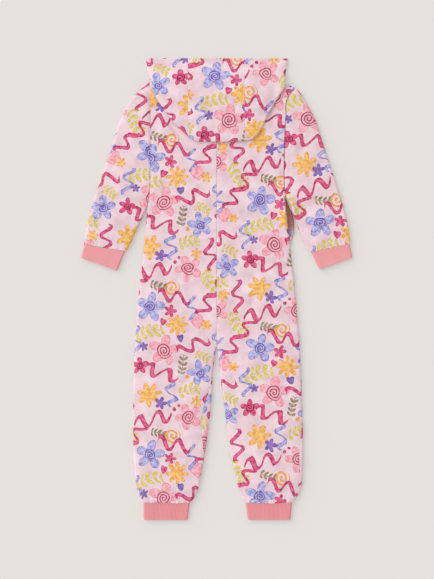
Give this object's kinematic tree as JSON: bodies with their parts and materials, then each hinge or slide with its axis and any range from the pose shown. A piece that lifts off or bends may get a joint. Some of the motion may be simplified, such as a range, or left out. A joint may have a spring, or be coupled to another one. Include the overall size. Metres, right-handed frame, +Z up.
{
  "type": "onesie pajama",
  "caption": "Child's hooded fleece onesie pajama laid flat and face down, hood turned down on the back, rib cuffs at wrists and ankles, front zip.",
  "frame": {"origin": "centre of the bounding box on the surface that the garment lies on", "axes": "+Y from the ankles to the hood, +X to the wearer's right, +Z up out of the back"},
  "size_m": [0.6242, 1.06, 0.0173],
  "materials": {
    "back_left": "brushed fleece, printed",
    "back_right": "brushed fleece, printed",
    "front_left": "brushed fleece, printed",
    "front_right": "brushed fleece, printed",
    "sleeve_left": "brushed fleece, printed",
    "sleeve_right": "brushed fleece, printed",
    "cuff_sleeve_left": "rib knit",
    "cuff_sleeve_right": "rib knit",
    "cuff_leg_left": "rib knit",
    "cuff_leg_right": "rib knit",
    "hood_centre": "brushed fleece, printed",
    "hood_side_left": "brushed fleece, printed",
    "hood_side_right": "brushed fleece, printed",
    "hood_wing_left": "brushed fleece, printed",
    "hood_wing_right": "brushed fleece, printed",
    "zip_tape": "woven tape and nylon coil",
    "zip_slider": "satin nickel",
    "zip_pull": "satin nickel"
  },
  "bodies": {
    "garment": {"back_left": "back_left", "back_right": "back_right", "front_left": "front_left", "front_right": "front_right", "sleeve_left": "sleeve_left", "sleeve_right": "sleeve_right", "cuff_sleeve_left": "cuff_sleeve_left", "cuff_sleeve_right": "cuff_sleeve_right", "cuff_leg_left": "cuff_leg_left", "cuff_leg_right": "cuff_leg_right", "hood_centre": "hood_centre", "hood_side_left": "hood_side_left", "hood_side_right": "hood_side_right", "hood_wing_left": "hood_wing_left", "hood_wing_right": "hood_wing_right", "zip_tape": "zip_tape", "zip_slider": "zip_slider"},
    "pull": {"zip_pull": "zip_pull"}
  },
  "joints": [
    {"name": "pull_hinge", "type": "hinge", "parent": "garment", "child": "pull", "pos_m": [0, 0.412, 0.0015], "axis": [1, 0, 0], "range_deg": [0, 150]}
  ]
}
